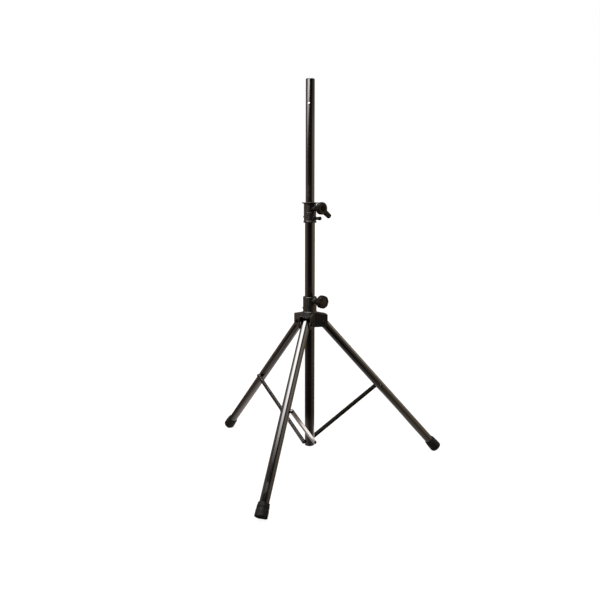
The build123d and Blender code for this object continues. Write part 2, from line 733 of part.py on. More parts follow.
def brace_top_rivet(az):
    """Upper pivot rivet of the brace, with its shoulder inside the channel."""
    depth = BRACE_OUT - BRACE_IN

    def plane(off):
        return cross_plane(az, BRACE_TOP_R, off, BRACE_TOP_Z)

    with BuildPart() as rivet:
        rod(plane(BRACE_IN + 0.2), 5.5, depth - BRACE_T - 0.3)
        rod(plane(BRACE_IN + 1), BRACE_BOLT_R, depth - 0.5)
        rod(plane(BRACE_OUT + 0.05), 6.2, HEAD_H, taper=HEAD_TAPER)
    return rivet.part


# ================================================================ output
# Pieces that are saved under their function's name.
SINGLE_PIECES = (
    main_tube, tube_bottom_plug, brace_pivot_bolts, brace_pivot_spacers,
    upper_collar, upper_collar_bush,
    pole_tube, pole_top_plug, pole_top_rivet, pole_guide_bush,
    upper_knob, hub_knob,
    lock_pin_barrel, lock_pin_spring, lock_pin_rod, lock_pin_knob,
    hub_bracket, hub_collar, hub_bush,
    leg_pivot_bolts, leg_pivot_nuts, leg_pivot_washers,
)

# Pieces that are made by a function which the upper collar and the hub share.
SHARED_PIECES = {
    "upper_collar_screws": collar_screws(
        COLLAR_SCREW_AZ, COLLAR_SCREW_Z, start=18.2, length=7, seat_r=COLLAR_R),
    "hub_collar_screws": collar_screws(
        HUB_SCREW_AZ, HUB_SCREW_Z, start=23.3, length=5, seat_r=HUB_R),
    "upper_clamp_pad": clamp_pad(POLE_R, UPPER_KNOB_Z),
    "hub_clamp_pad": clamp_pad(TUBE_R, HUB_KNOB_Z),
    "upper_knob_stud": clamp_stud(POLE_R, UPPER_KNOB_Z, length=44),
    "hub_knob_stud": clamp_stud(TUBE_R, HUB_KNOB_Z, length=48),
    "upper_knob_insert": knob_insert(UPPER_INSERT_AT, UPPER_KNOB_Z),
    "hub_knob_insert": knob_insert(HUB_INSERT_AT, HUB_KNOB_Z),
    "upper_knob_cap": knob_cap(
        UPPER_RECESS_AT, UPPER_RECESS_R, UPPER_KNOB_Z, height=1.7, rounding=1.0),
    "hub_knob_cap": knob_cap(
        HUB_RECESS_AT, HUB_RECESS_R, HUB_KNOB_Z, height=1.8, rounding=1.2),
}

# Pieces that each leg has, by the pattern of their names.
LEG_PIECES = {
    "leg_{}_tube": leg_tube,
    "leg_{}_top_plug": leg_top_plug,
    "foot_cap_{}": foot_cap,
    "leg_{}_brace_bolt": leg_brace_bolt,
    "leg_{}_brace_spacer": leg_brace_spacer,
    "brace_{}": brace,
    "brace_{}_top_rivet": brace_top_rivet,
}

os.makedirs("parts", exist_ok=True)
for build in SINGLE_PIECES:
    save(build(), build.__name__)
for label, part in SHARED_PIECES.items():
    save(part, label)
for number, azimuth in enumerate(LEG_AZ, start=1):
    for pattern, build in LEG_PIECES.items():
        save(build(azimuth), pattern.format(number))
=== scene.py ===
"""Folding stand on three legs: a pole sliding in a main tube, an upper collar, a hub and braces.

The pole runs up +Z and the floor is z = 0. Leg 1 points to -Y, and legs 2 and 3 follow at 120 and
240 degrees. The knobs and the lock pin face azimuth -30, between legs 1 and 2. The scene is in
metres; the layout, the meshes and the material patterns are in millimetres from the datum.
"""

from math import radians, sin, cos, pi, sqrt, atan2

import bpy
import bmesh
import numpy as np
from mathutils import Matrix


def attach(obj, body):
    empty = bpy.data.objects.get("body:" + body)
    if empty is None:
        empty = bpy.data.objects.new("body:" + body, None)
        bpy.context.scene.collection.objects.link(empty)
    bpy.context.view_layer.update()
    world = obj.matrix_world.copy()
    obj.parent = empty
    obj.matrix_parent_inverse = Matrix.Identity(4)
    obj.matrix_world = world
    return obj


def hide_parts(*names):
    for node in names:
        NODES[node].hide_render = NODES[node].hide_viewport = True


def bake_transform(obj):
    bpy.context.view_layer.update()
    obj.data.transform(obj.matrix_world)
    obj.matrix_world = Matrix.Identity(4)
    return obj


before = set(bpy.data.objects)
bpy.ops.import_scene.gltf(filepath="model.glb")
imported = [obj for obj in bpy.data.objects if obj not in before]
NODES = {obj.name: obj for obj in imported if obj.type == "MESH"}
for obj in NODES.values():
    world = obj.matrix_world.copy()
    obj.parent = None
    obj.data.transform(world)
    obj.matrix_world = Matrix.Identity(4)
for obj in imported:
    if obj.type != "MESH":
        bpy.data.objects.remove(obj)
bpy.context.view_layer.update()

# ---------------------------------------------------------------- layout, mm and degrees
MM = 0.001
RAISE = 21.0                      # height of the datum above the floor
LEG_AZIMUTHS = (-90.0, 30.0, 150.0)
KNOB_AZIMUTH = -30.0
UPPER_KNOB_Z, PIN_Z, HUB_KNOB_Z = 1023.0, 984.0, 656.5
LEG_R, LEG_LENGTH = 17.5, 770.0
LEG_TILT = radians(41.56)         # from the vertical
PIVOT_R, PIVOT_Z = 54.0, 567.0    # leg pivots
BRACE_AT = 375.0                  # brace bolt, measured down the leg from its pivot
BRACE_PIVOT_R, BRACE_PIVOT_Z = 9.0, 63.0
BRACE_IN, BRACE_OUT, BRACE_WALL = 21.0, 29.0, 1.8   # sideways faces of a brace, and its wall
ARM_HALF_WIDTH, ARM_Z0 = 23.5, 548.0                # arms of the hub bracket
BOLT_R = PIVOT_R + BRACE_AT * sin(LEG_TILT)
BOLT_Z = PIVOT_Z - BRACE_AT * cos(LEG_TILT)
BRACE_LEAN = atan2(BOLT_R - BRACE_PIVOT_R, BOLT_Z - BRACE_PIVOT_Z)
UP = np.array([0.0, 0.0, 1.0])


def outward(azimuth):
    return np.array([cos(radians(azimuth)), sin(radians(azimuth)), 0.0])


def sideways(azimuth):
    return np.array([-sin(radians(azimuth)), cos(radians(azimuth)), 0.0])


def point_at(azimuth, radius, height):
    return outward(azimuth) * radius + UP * height


def leg_direction(azimuth):
    return outward(azimuth) * sin(LEG_TILT) - UP * cos(LEG_TILT)


def unit(vector):
    vector = np.asarray(vector, float)
    return vector / np.linalg.norm(vector)


KNOB_OUT, KNOB_SIDE = outward(KNOB_AZIMUTH), sideways(KNOB_AZIMUTH)


# ---------------------------------------------------------------- mesh tools
def link_object(name, data):
    obj = bpy.data.objects.new(name, data)
    bpy.context.scene.collection.objects.link(obj)
    return obj


def shade_smooth(mesh, sharp):
    """Smooth shading, with edges steeper than sharp degrees kept sharp."""
    mesh.polygons.foreach_set("use_smooth", [True] * len(mesh.polygons))
    mesh.set_sharp_from_angle(angle=radians(sharp))
    mesh.update()


def make_object(name, shape, sharp=32.0):
    """Object from (points in mm, faces)."""
    points, faces = shape
    mesh = bpy.data.meshes.new(name)
    metres = (np.asarray(points, float) + UP * RAISE) * MM
    mesh.from_pydata([tuple(p) for p in metres], [], [tuple(face) for face in faces])
    bm = bmesh.new()
    bm.from_mesh(mesh)
    bmesh.ops.remove_doubles(bm, verts=bm.verts, dist=1e-7)
    bmesh.ops.dissolve_degenerate(bm, edges=bm.edges, dist=1e-7)
    bmesh.ops.recalc_face_normals(bm, faces=bm.faces)
    bm.to_mesh(mesh)
    bm.free()
    shade_smooth(mesh, sharp)
    return link_object(name, mesh)


def rounded(outline, steps=5):
    """Outline of (along, radius) or (along, radius, corner radius) with its corners rounded."""
    result = []
    points = [np.array(p[:2], float) for p in outline]
    for i, corner in enumerate(points):
        fillet = outline[i][2] if len(outline[i]) > 2 else 0.0
        if fillet <= 0 or i in (0, len(points) - 1):
            result.append(corner)
            continue
        back, ahead = points[i - 1] - corner, points[i + 1] - corner
        back_len, ahead_len = np.linalg.norm(back), np.linalg.norm(ahead)
        back, ahead = back / back_len, ahead / ahead_len
        angle = np.arccos(np.clip(back @ ahead, -1, 1))
        if abs(angle - pi) < 1e-3 or angle < 1e-3:
            result.append(corner)
            continue
        cut = min(fillet / np.tan(angle / 2), back_len * 0.499, ahead_len * 0.499)
        radius = cut * np.tan(angle / 2)
        middle = back + ahead
        centre = corner + middle / np.linalg.norm(middle) * (radius / np.sin(angle / 2))
        first, last = corner + back * cut - centre, corner + ahead * cut - centre
        start = atan2(first[1], first[0])
        sweep = (atan2(last[1], last[0]) - start + pi) % (2 * pi) - pi
        for k in range(steps + 1):
            turn = start + sweep * k / steps
            result.append(centre + radius * np.array([cos(turn), sin(turn)]))
    return result


def refine(profile, step):
    """Adds points so that no span of a profile is longer than step."""
    result = [np.asarray(profile[0], float)]
    for first, last in zip(profile[:-1], profile[1:]):
        first, last = np.asarray(first, float), np.asarray(last, float)
        count = max(1, int(np.ceil(np.linalg.norm(last - first) / step)))
        for j in range(1, count + 1):
            result.append(first + (last - first) * j / count)
    return result


def lathe(origin, axis, zero, profile, segs=96, shape=None, closed=False):
    """Points and faces of a profile of (along, radius) turned about an axis, from direction zero.

    shape(along, radius, angle) may change the radius. A closed profile joins its ends.
    """
    origin, axis = np.asarray(origin, float), unit(axis)
    zero = np.asarray(zero, float)
    x = unit(zero - (zero @ axis) * axis)
    y = np.cross(axis, x)
    angles = np.arange(segs) * 2 * pi / segs
    points, rows = [], []
    for along, radius in profile:
        if radius <= 1e-6:
            rows.append([len(points)])
            points.append(origin + axis * along)
            continue
        rows.append(list(range(len(points), len(points) + segs)))
        for t in angles:
            reach = shape(along, radius, t) if shape else radius
            points.append(origin + axis * along + x * cos(t) * reach + y * sin(t) * reach)
    pairs = list(zip(rows[:-1], rows[1:]))
    if closed:
        pairs.append((rows[-1], rows[0]))
    faces = []
    for p, q in pairs:
        if len(p) == 1 and len(q) == 1:
            continue
        for j in range(segs):
            k = (j + 1) % segs
            if len(p) == 1:
                faces.append((p[0], q[k], q[j]))
            elif len(q) == 1:
                faces.append((p[j], p[k], q[0]))
            else:
                faces.append((p[j], p[k], q[k], q[j]))
    return points, faces


def merge(parts):
    points, faces = [], []
    for part_points, part_faces in parts:
        offset = len(points)
        points += list(part_points)
        faces += [tuple(i + offset for i in face) for face in part_faces]
    return points, faces


def hexagon(angle, inner_radius):
    """Radius of a hexagon at an angle."""
    return inner_radius / cos((angle % (pi / 3)) - pi / 6)


def smooth01(value, low, high):
    t = np.clip((value - low) / (high - low), 0, 1)
    return t * t * (3 - 2 * t)


# ---------------------------------------------------------------- shader tools
class Field:
    """An output socket whose arithmetic adds Math nodes to the tree being built."""

    tree = None

    def __init__(self, socket):
        self.socket = socket

    def output(self, key):
        """Another output of the same node."""
        return Field(self.socket.node.outputs[key])

    def __add__(self, other):
        return math_op("ADD", self, other)

    def __radd__(self, other):
        return math_op("ADD", other, self)

    def __sub__(self, other):
        return math_op("SUBTRACT", self, other)

    def __rsub__(self, other):
        return math_op("SUBTRACT", other, self)

    def __mul__(self, other):
        return math_op("MULTIPLY", self, other)


def start_tree(owner):
    owner.use_nodes = True
    owner.node_tree.nodes.clear()
    Field.tree = owner.node_tree


def feed(shader_node, inputs):
    """Links fields to a node's inputs and sets plain values on them."""
    for key, value in inputs.items():
        if isinstance(value, Field):
            Field.tree.links.new(value.socket, shader_node.inputs[key])
        else:
            shader_node.inputs[key].default_value = value


def add_node(kind, inputs, **settings):
    made = Field.tree.nodes.new(kind)
    for key, value in settings.items():
        setattr(made, key, value)
    feed(made, inputs)
    return made


def node(kind, inputs={}, output=0, **settings):
    return Field(add_node(kind, inputs, **settings).outputs[output])


def math_op(operation, first, second=0.0, *third):
    inputs = dict(enumerate((first, second, *third)))
    return node("ShaderNodeMath", inputs, operation=operation)


def vector_op(operation, *vectors, output=0):
    inputs = dict(enumerate(vectors))
    return node("ShaderNodeVectorMath", inputs, output, operation=operation)


def dot(first, second):
    return vector_op("DOT_PRODUCT", first, second, output="Value")


def scale(vector, factor):
    return node("ShaderNodeVectorMath", {0: vector, 3: factor}, operation="SCALE")


def xyz(*parts):
    return node("ShaderNodeCombineXYZ", dict(enumerate(parts)))


def split(vector):
    first = node("ShaderNodeSeparateXYZ", {0: vector})
    return [first.output(i) for i in range(3)]


def tinted(tint, brightness):
    return scale(xyz(*tint), brightness)


def fade(value, start, end, before=0.0, after=1.0, kind="SMOOTHSTEP"):
    """Goes from before, at start, to after, at end. Start may be the higher of the two."""
    if start > end:
        start, end, before, after = end, start, after, before
    limits = {"From Min": start, "From Max": end, "To Min": before, "To Max": after}
    return node("ShaderNodeMapRange", {"Value": value, **limits},
                interpolation_type=kind, clamp=True)


def mix(first, second, amount):
    """Colour from first to second by amount."""
    colours = [c if isinstance(c, Field) else (*c, 1.0) for c in (first, second)]
    return node("ShaderNodeMix", {0: amount, 6: colours[0], 7: colours[1]}, output=2,
                data_type="RGBA", clamp_factor=True)


def noise(point, scale, detail=3.0, rough=0.55, distort=0.0):
    return node("ShaderNodeTexNoise", {"Vector": point, "Scale": scale, "Detail": detail,
                                       "Roughness": rough, "Distortion": distort})


def patches(point, scale, start, end, detail=5.0, rough=0.7):
    """Noise turned into patches: none below start and full above end."""
    return fade(noise(point, scale, detail, rough), start, end)


def voronoi(point, scale, feature="F1"):
    return node("ShaderNodeTexVoronoi", {"Vector": point, "Scale": scale}, "Distance",
                feature=feature)


def bump(height, strength, distance, normal=None):
    """Distance is in metres."""
    inputs = {"Strength": strength, "Distance": distance, "Height": height}
    if normal is not None:
        inputs["Normal"] = normal
    return node("ShaderNodeBump", inputs)


def object_mm():
    """Object coordinates in millimetres from the datum."""
    metres = node("ShaderNodeTexCoord", output="Object")
    return vector_op("SUBTRACT", scale(metres, 1000.0), (0.0, 0.0, RAISE))


def axis_mm(origin, axis):
    """Object coordinates from an origin, turned so that z runs along the axis."""
    axis = unit(axis)
    reference = UP if abs(axis[2]) < 0.9 else np.array([1.0, 0, 0])
    x = unit(np.cross(reference, axis))
    y = np.cross(axis, x)
    point = vector_op("SUBTRACT", object_mm(), tuple(np.asarray(origin, float)))
    return xyz(*(dot(point, tuple(direction)) for direction in (x, y, axis)))


def edge_mask(radius, width):
    """Mask near 1 on corners and 0 on flats, and the rounded normal. Radius is in mm."""
    bevel = node("ShaderNodeBevel", {"Radius": radius * MM}, samples=6)
    true_normal = node("ShaderNodeNewGeometry", output="Normal")
    return fade(1.0 - dot(bevel, true_normal), start=0.015, end=0.015 + width), bevel


def shade(level, tint=(1.0, 1.0, 1.0)):
    return tuple(level * c for c in tint)


def new_material(name):
    material = bpy.data.materials.new(name)
    start_tree(material)
    output = add_node("ShaderNodeOutputMaterial", {})
    surface = add_node("ShaderNodeBsdfPrincipled", {})
    feed(output, {0: Field(surface.outputs[0])})
    return material, surface


# ---------------------------------------------------------------- material kinds
# Colours are linear. Pattern scales are per millimetre.
def gloss_paint(name, origin, axis, rubs=(), rough=0.060, edges=False):
    """Glossy black enamel with orange peel, fine marks along z, dust and rubbed bands.

    Each entry of rubs is (start, end, softness) in mm along the axis.
    """
    material, surface = new_material(name)
    point = axis_mm(origin, axis)
    x, y, z = split(point)
    drift = noise(point, scale=0.012, detail=2.0)
    fine = noise(point, scale=0.55, detail=4.0, rough=0.6)
    streak = noise(xyz(x * 1.1, y * 1.1, z * 0.010), scale=1.0, detail=5.0, rough=0.65)
    hair = fade(streak, start=0.655, end=0.70)
    rings = patches(xyz(x * 0.05, y * 0.05, z * 1.6), scale=1.0, start=0.68, end=0.74, detail=4.0)
    spots = voronoi(point, scale=0.16)
    chosen = fade(split(spots.output("Color"))[0], start=0.62, end=0.7)
    dust = fade(spots, start=0.055, end=0.03) * chosen
    film = patches(point, scale=0.03, start=0.5, end=0.78, rough=0.65)

    deep = 0.0011
    base = mix(shade(deep, (0.75, 0.72, 0.74)), shade(deep, (1.25, 1.16, 1.12)), amount=drift)
    base = mix(base, (0.0036, 0.0033, 0.0031), amount=film * 0.30)
    base = mix(base, (0.050, 0.046, 0.042), amount=dust * 0.7)
    roughness = rough + fine * 0.03 + film * 0.035 + hair * 0.12 + rings * 0.03 + dust * 0.4
    if rubs:
        bands = [fade(z, start - soft, start + soft) * fade(z, end + soft, end - soft)
                 for start, end, soft in rubs]
        worn = sum(bands[1:], bands[0]) * (0.45 + streak * 0.7)
        roughness = roughness + worn * 0.10
        base = mix(base, (0.0055, 0.0050, 0.0047), amount=worn * 0.35)
    broad_peel = noise(point, scale=0.32, detail=2.0, rough=0.4)
    peel = broad_peel * 1.0 + noise(point, scale=1.1, detail=2.0) * 0.22
    normal = None
    if edges:
        wear, normal = edge_mask(radius=0.7, width=0.12)
        wear = wear * patches(point, scale=0.09, start=0.40, end=0.62)
        base = mix(base, (0.018, 0.017, 0.016), amount=wear * 0.5)
        roughness = roughness + wear * 0.12
    feed(surface, {
        "Base Color": base, "Roughness": math_op("MINIMUM", roughness, 0.85), "IOR": 1.53,
        "Normal": bump(peel + dust * 0.6, strength=0.05, distance=0.00008, normal=normal)})
    return material


def powder_coat(name):
    """Satin black powder coat: a pebbled skin, thinner and rubbed on its edges."""
    material, surface = new_material(name)
    point = object_mm()
    drift = noise(point, scale=0.02)
    grain = voronoi(point, scale=1.25, feature="SMOOTH_F1")
    fine = noise(point, scale=2.4, rough=0.6)
    wear, normal = edge_mask(radius=0.9, width=0.16)
    chips = patches(point, scale=0.28, start=0.47, end=0.60, detail=6.0, rough=0.72)
    areas = patches(point, scale=0.035, start=0.42, end=0.62, detail=3.0, rough=0.55)
    bare = wear * chips * areas * 0.55
    stretched = vector_op("MULTIPLY", point, (0.06, 1.7, 0.35))
    scuff = patches(stretched, scale=1.0, start=0.66, end=0.72, detail=4.0)

    deep = 0.0022
    base = mix(shade(deep * 0.8), shade(deep, (1.35, 1.27, 1.2)), amount=drift)
    base = mix(base, (0.012, 0.011, 0.0105), amount=wear * 0.45)
    base = mix(base, (0.16, 0.155, 0.15), amount=bare)
    base = mix(base, (0.014, 0.013, 0.0125), amount=scuff * 0.35)
    height = grain * -0.8 + fine * 0.35 - bare * 0.6
    feed(surface, {
        "Base Color": base, "Roughness": 0.26 + fine * 0.09 + drift * 0.08 - bare * 0.06,
        "Metallic": bare * 0.9, "Specular IOR Level": 0.50,
        "Normal": bump(height, strength=0.12, distance=0.00010, normal=normal)})
    return material


def moulded(name, deep, rough=0.30, grain_scale=1.9, grain_depth=0.3, edge=True,
            tint=(1.0, 0.97, 0.93), level=0.22):
    """Black plastic with eroded grain, flow clouds, paler rubbed edges and a little dust."""
    material, surface = new_material(name)
    point = object_mm()
    cloud = noise(point, scale=0.035, detail=4.0, rough=0.6, distort=0.8)
    grain = noise(point, scale=grain_scale, rough=0.65)
    cell = voronoi(point, scale=grain_scale * 0.9)
    dust = patches(point, scale=0.11, start=0.56, end=0.76, detail=6.0, rough=0.75)
    facing_up = split(node("ShaderNodeNewGeometry", output="Normal"))[2]
    upward = fade(facing_up, start=0.15, end=0.95)

    base = mix(shade(deep * 0.8, tint), shade(deep * 1.35, tint), amount=cloud)
    base = mix(base, shade(deep * 2.2), amount=grain * 0.25)
    roughness = rough + (grain * 0.10 + cloud * 0.06)
    normal = None
    if edge:
        wear, normal = edge_mask(radius=0.8, width=0.18)
        rubbed = wear * patches(point, scale=0.10, start=0.38, end=0.62)
        base = mix(base, (0.015, 0.0144, 0.0138), amount=rubbed * 0.55)
        roughness = roughness - rubbed * 0.10
    base = mix(base, (0.028, 0.0265, 0.025), amount=dust * (0.02 + upward * 0.20))
    skin = grain + cell * -0.7
    feed(surface, {
        "Base Color": base, "Roughness": roughness, "IOR": 1.49, "Specular IOR Level": level,
        "Normal": bump(skin, strength=grain_depth, distance=0.00010, normal=normal)})
    return material


def rubber(name):
    """Matt rubber: coarse skin, bloom, paler edges and floor dust towards the sole."""
    material, surface = new_material(name)
    point = object_mm()
    z = split(point)[2]
    skin = noise(point, scale=1.3, detail=5.0, rough=0.7)
    cloud = noise(point, scale=0.05, detail=4.0, rough=0.6)
    wear, normal = edge_mask(radius=1.0, width=0.2)
    near_floor = fade(z, start=20.0 - RAISE, end=1.0 - RAISE)
    low = near_floor * patches(point, scale=0.16, start=0.36, end=0.72, detail=6.0, rough=0.75)
    bloom = patches(point, scale=0.08, start=0.50, end=0.78)

    base = mix((0.0024, 0.0022, 0.0022), (0.0040, 0.0037, 0.0036), amount=cloud)
    base = mix(base, (0.0075, 0.0070, 0.0068), amount=bloom * 0.22)
    base = mix(base, (0.0125, 0.0120, 0.0115), amount=wear * 0.30)
    base = mix(base, (0.026, 0.024, 0.022), amount=low * 0.25)
    feed(surface, {
        "Base Color": base, "Roughness": 0.42 + (skin * 0.14 + low * 0.2),
        "IOR": 1.50, "Specular IOR Level": 0.07,
        "Normal": bump(skin, strength=0.3, distance=0.00012, normal=normal)})
    return material


def metal(name, light, dark, rough, edge, wear_amount):
    """Metal fittings: blotches between dark and light, turning marks, grime, bright edges."""
    material, surface = new_material(name)
    point = object_mm()
    blotch = noise(point, scale=0.06, detail=5.0, rough=0.65, distort=0.6)
    fine = noise(point, scale=1.6, detail=4.0, rough=0.6)
    stretched = vector_op("MULTIPLY", point, (2.5, 2.5, 0.25))
    lines = noise(stretched, scale=1.0, detail=4.0, rough=0.7)
    wear, normal = edge_mask(radius=0.35, width=0.2)
    grime = patches(point, scale=0.2, start=0.55, end=0.75, detail=6.0)

    base = mix(dark, light, amount=blotch)
    base = mix(base, shade(1.25, light), amount=lines * 0.22)
    base = mix(base, shade(0.35, dark), amount=grime * 0.35)
    base = mix(base, edge, amount=wear * wear_amount)
    height = lines + fine * 0.4
    feed(surface, {
        "Base Color": base, "Metallic": 1.0, "Roughness": rough + fine * 0.12 + grime * 0.15,
        "Normal": bump(height, strength=0.12, distance=0.00008, normal=normal)})
    return material


def nylon(name):
    """Grey nylon: slightly waxy, with rings up z and grease marks."""
    material, surface = new_material(name)
    point = object_mm()
    cloud = noise(point, scale=0.06, detail=4.0)
    fine = noise(point, scale=1.5, detail=4.0)
    rings = noise(vector_op("MULTIPLY", point, (0.05, 0.05, 2.2)), scale=1.0)
    grease = patches(point, scale=0.07, start=0.52, end=0.68)

    grey = 0.15
    base = mix(shade(grey, (0.85, 0.84, 0.82)), shade(grey, (1.15, 1.14, 1.1)), amount=cloud)
    base = mix(base, shade(grey, (0.35, 0.33, 0.30)), amount=grease * 0.5)
    feed(surface, {
        "Base Color": base, "Roughness": 0.34 + (fine * 0.12 + rings * 0.08),
        "Subsurface Weight": 0.08, "Subsurface Radius": (0.002, 0.002, 0.002),
        "Normal": bump(rings + fine * 0.4, strength=0.15, distance=0.00010)})
    return material


# ---------------------------------------------------------------- materials of this stand
FINISHES = {
    "pole": gloss_paint("pole_enamel", (0, 0, 0), UP, rubs=((1052, 1120, 22), (930, 1000, 30))),
    "tube": gloss_paint("tube_enamel", (0, 0, 0), UP, rubs=((676, 720, 14), (300, 470, 60))),
}
for n, azimuth in enumerate(LEG_AZIMUTHS, start=1):
    FINISHES[f"leg_{n}"] = gloss_paint(
        f"leg_{n}_enamel", point_at(azimuth, PIVOT_R, PIVOT_Z), leg_direction(azimuth),
        rubs=((650, 690, 10),))
    brace_foot = point_at(azimuth, BRACE_PIVOT_R, BRACE_PIVOT_Z) + sideways(azimuth) * BRACE_OUT
    FINISHES[f"brace_{n}"] = gloss_paint(
        f"brace_{n}_enamel", brace_foot,
        outward(azimuth) * sin(BRACE_LEAN) + UP * cos(BRACE_LEAN), rough=0.11, edges=True)
FINISHES.update({
    "bracket": powder_coat("bracket_powder_coat"),
    "collar": moulded("collar_plastic", deep=0.0026, grain_depth=0.08,
                      tint=(1.05, 0.97, 0.88), level=0.36),
    "plug": moulded("plug_plastic", deep=0.0034, grain_scale=1.3),
    "knob": moulded("knob_plastic", deep=0.0011, rough=0.25, grain_scale=2.3,
                    grain_depth=0.10, edge=False, level=0.12),
    "knob_cap": moulded("knob_cap_plastic", deep=0.0016, rough=0.20, grain_scale=2.8,
                        grain_depth=0.08, edge=False, level=0.16),
    # the upper knob's cap: a darker, nearly unreflecting copy of the knob-cap plastic, painted shade
    "shade_painted_cap": moulded("upper_cap_plastic_painted_shade", deep=0.0007, rough=0.20, grain_scale=2.8,
                        grain_depth=0.06, edge=False, level=0.03),
    "rubber": rubber("foot_rubber"),
    "nylon": nylon("bush_nylon"),
    "zinc": metal("zinc_plate", light=(0.66, 0.66, 0.64), dark=(0.44, 0.45, 0.47), rough=0.24,
                  edge=(0.8, 0.8, 0.78), wear_amount=0.25),
    "black_steel": metal("black_oxide_steel", light=(0.030, 0.029, 0.030),
                         dark=(0.014, 0.014, 0.015), rough=0.26,
                         edge=(0.16, 0.155, 0.15), wear_amount=0.40),
    "brass": metal("turned_brass", light=(0.78, 0.56, 0.25), dark=(0.52, 0.36, 0.15),
                   rough=0.28, edge=(0.86, 0.66, 0.35), wear_amount=0.3),
})

# finish: the CAD pieces that wear it
CAD_PIECES = {
    "tube": "main_tube",
    "pole": "pole_tube",
    "bracket": "hub_bracket",
    "collar": "upper_collar hub_collar",
    "plug": "tube_bottom_plug pole_top_plug",
    "knob": "upper_knob hub_knob lock_pin_knob",
    "shade_painted_cap": "upper_knob_cap",
    "knob_cap": "hub_knob_cap",
    "rubber": "foot_cap_1 foot_cap_2 foot_cap_3",
    "nylon": "upper_collar_bush hub_bush pole_guide_bush upper_clamp_pad hub_clamp_pad "
             "leg_1_top_plug leg_2_top_plug leg_3_top_plug leg_pivot_washers",
    "brass": "upper_knob_insert hub_knob_insert",
    "zinc": "upper_knob_stud hub_knob_stud lock_pin_rod lock_pin_spring pole_top_rivet",
    "black_steel": "lock_pin_barrel upper_collar_screws hub_collar_screws brace_pivot_bolts "
                   "brace_pivot_spacers leg_pivot_bolts leg_pivot_nuts",
}
finish_of = {piece: finish for finish, pieces in CAD_PIECES.items() for piece in pieces.split()}
for n in (1, 2, 3):
    finish_of[f"leg_{n}_tube"] = f"leg_{n}"
    finish_of[f"brace_{n}"] = f"brace_{n}"
    for piece in (f"leg_{n}_brace_bolt", f"leg_{n}_brace_spacer", f"brace_{n}_top_rivet"):
        finish_of[piece] = "black_steel"


def set_finish(obj, finish):
    obj.data.materials.clear()
    obj.data.materials.append(FINISHES[finish])


for name, piece in NODES.items():
    set_finish(piece, finish_of[name])


def install(obj, body, finish, *replaced):
    """Finishes an object, lets it ride on a body and puts it in place of CAD pieces."""
    set_finish(obj, finish)
    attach(obj, body)
    if replaced:
        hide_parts(*replaced)


# ---------------------------------------------------------------- rubber feet
# (distance back from the sole, radius, corner radius)
FOOT_OUTLINE = [
    (50, LEG_R + 0.15), (50, 20.4, 0.7), (48.6, 21.3, 0.8), (41.6, 21.3, 0.7), (39.8, 22.6, 0.8),
    (35.4, 22.6, 0.5), (34.9, 21.9, 0.3), (33.6, 21.9, 0.3), (33.1, 22.6, 0.5),
    (30.9, 22.6, 0.5), (30.4, 21.9, 0.3), (29.1, 21.9, 0.3), (28.6, 22.6, 0.5),
    (26, 22.6, 0.8), (24, 23.5, 0.9), (0, 23.5, 7.2), (0, 19.0, 0.2),
    (0, 16.2, 0.5), (0.9, 15.6, 0.4), (0.9, 12.4, 0.4), (0, 11.8, 0.5),
    (0, 9.2, 0.5), (0.9, 8.6, 0.4), (0.9, 5.4, 0.4), (0, 4.8, 0.5), (0, 0.0)]
TREAD_PADS, TREAD_DEPTH = 22, 0.55


def tread(along, radius, angle):
    """Shallow upright pads round the thick end."""
    weight = (smooth01(along, LEG_LENGTH - 22.5, LEG_LENGTH - 20.5)
              * (1 - smooth01(along, LEG_LENGTH - 8.5, LEG_LENGTH - 5.5))
              * (1.0 if radius > 20 else 0.0))
    from_groove = abs(((angle * TREAD_PADS / (2 * pi)) % 1.0) - 0.5) * 2
    return radius - TREAD_DEPTH * weight * (1 - smooth01(from_groove, 0.10, 0.34))


foot_profile = refine(rounded([(LEG_LENGTH - back, *rest) for back, *rest in FOOT_OUTLINE], 6), 1.1)
for n, azimuth in enumerate(LEG_AZIMUTHS, start=1):
    points, faces = lathe(point_at(azimuth, PIVOT_R, PIVOT_Z), leg_direction(azimuth),
                          sideways(azimuth), foot_profile, segs=176, shape=tread)
    points = np.array(points)
    points[:, 2] = np.maximum(points[:, 2], -RAISE)   # flat where it stands on the floor
    foot = make_object(f"rubber_foot_{n}", (points, faces), sharp=40)
    install(foot, f"leg_{n}", "rubber", f"foot_cap_{n}")

# ---------------------------------------------------------------- hub knob
# Outlines on the knob axis: (distance from the pole's axis, radius, corner radius)
HUB_KNOB = point_at(KNOB_AZIMUTH, 0, HUB_KNOB_Z)
HUB_GRIP_OUTLINE = [
    (46, 4.3), (46, 12.6, 0.5), (46.6, 13.0, 0.6), (58.5, 13.0, 3.0), (62.8, 16.0, 2.2),
    (63.2, 23.0, 0.6), (63.6, 26.1, 2.8), (73, 26.3, 3.0), (82.7, 25.9, 2.6), (83.0, 18.8, 0.8),
    (82.7, 17.0, 0.3), (81.4, 16.5, 0.3), (81.4, 0.0)]
HUB_FACE_OUTLINE = [
    (81.45, 0.0), (81.45, 15.9), (81.8, 16.1, 0.2), (82.7, 16.0, 0.6), (83.3, 14.8, 0.4),
    (83.15, 14.1, 0.2), (82.75, 13.8, 0.2), (82.75, 12.9, 0.2), (83.15, 12.6, 0.3),
    (83.4, 8.0, 4.0), (83.45, 0.0)]
FLUTES, FLUTE_DEPTH = 8, 1.15


def flute(along, radius, angle):
    weight = smooth01(radius, 20.0, 24.4) * smooth01(along, 63.0, 65.0)
    crest = 0.5 - 0.5 * cos(FLUTES * (angle - radians(22.5)))
    return radius - FLUTE_DEPTH * weight * (1 - crest ** 0.45)


